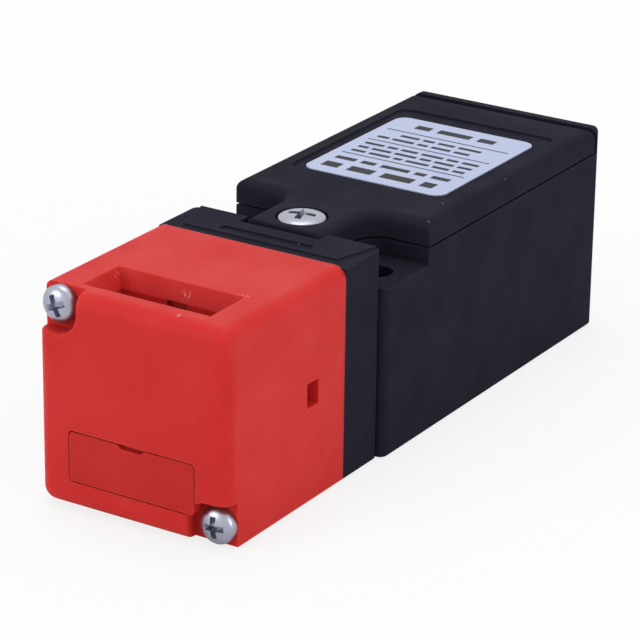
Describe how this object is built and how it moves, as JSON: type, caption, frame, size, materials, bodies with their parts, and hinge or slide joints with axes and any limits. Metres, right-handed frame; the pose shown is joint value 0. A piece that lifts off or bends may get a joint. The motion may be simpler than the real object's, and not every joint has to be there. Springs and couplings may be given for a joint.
{
  "type": "tongue interlock switch",
  "caption": "Narrow safety switch lying on its back, with a square tongue-operated head on the front, a screwed cover and a threaded conduit entry at the rear.",
  "frame": {"origin": "midway between the two mounting slots, on the back face that rests on the machine", "axes": "+Z out of the back face towards the cover, +Y from the head towards the conduit entry, +X to the right seen from the head with the cover up"},
  "size_m": [0.03, 0.0928, 0.0299],
  "materials": {
    "red_plastic": "moulded, fine matt",
    "black_plastic": "moulded, fine spark texture",
    "natural_acetal": "moulded, smooth",
    "block_plastic": "moulded, matt",
    "black_rubber": "moulded, matt",
    "label_film": "metallised film, satin",
    "zinc_plated_steel": "bright zinc",
    "steel": "ground",
    "zinc_alloy": "die cast, satin",
    "spring_steel": "drawn wire",
    "contact_brass": "stamped"
  },
  "bodies": {
    "switch_body": {"head_housing": "red_plastic", "wheel_cradle": "red_plastic", "wheel_axle": "steel", "plunger_spring": "spring_steel", "guide_bush": "natural_acetal", "plunger_seal": "black_rubber", "head_collar": "black_plastic", "head_screws": "zinc_plated_steel", "collar_screws": "zinc_plated_steel", "housing": "black_plastic", "cover": "black_plastic", "cover_gasket": "black_rubber", "cover_screw": "zinc_plated_steel", "screw_retainer": "natural_acetal", "label_plate": "label_film", "contact_base": "block_plastic", "fixed_contacts": "contact_brass", "terminal_clamps": "zinc_plated_steel", "terminal_screws": "zinc_plated_steel", "return_spring": "spring_steel", "contact_lid": "block_plastic"},
    "cam_wheel": {"cam_wheel": "zinc_alloy"},
    "plunger": {"plunger": "natural_acetal"},
    "contact_carrier": {"contact_carrier": "natural_acetal", "contact_spring_front": "spring_steel", "contact_spring_rear": "spring_steel"},
    "contact_bridges": {"contact_bridges": "contact_brass"},
    "slot_plug": {"slot_plug": "red_plastic"}
  },
  "joints": [
    {"name": "wheel_turn", "type": "hinge", "parent": "switch_body", "child": "cam_wheel", "pos_m": [0, -0.02555, 0.01475], "axis": [1, 0, 0], "range_deg": [0, 60]},
    {"name": "plunger_slide", "type": "slide", "parent": "switch_body", "child": "plunger", "axis": [0, -1, 0], "range_m": [0, 0.0036], "deforming": ["plunger_spring"]},
    {"name": "carrier_slide", "type": "slide", "parent": "switch_body", "child": "contact_carrier", "axis": [0, -1, 0], "range_m": [0, 0.0036], "deforming": ["return_spring"]},
    {"name": "bridge_slide", "type": "slide", "parent": "switch_body", "child": "contact_bridges", "axis": [0, -1, 0], "range_m": [0, 0.0026], "deforming": ["contact_spring_front", "contact_spring_rear"]},
    {"name": "plug_pull", "type": "slide", "parent": "switch_body", "child": "slot_plug", "axis": [0, -1, 0], "range_m": [0, 0.012]}
  ],
  "couplings": [
    {"joint": "plunger_slide", "follows": "wheel_turn", "m_per_rad": 0.0034377},
    {"joint": "carrier_slide", "follows": "wheel_turn", "m_per_rad": 0.0034377},
    {"joint": "bridge_slide", "follows": "wheel_turn", "m_per_rad": 0.0024828}
  ]
}
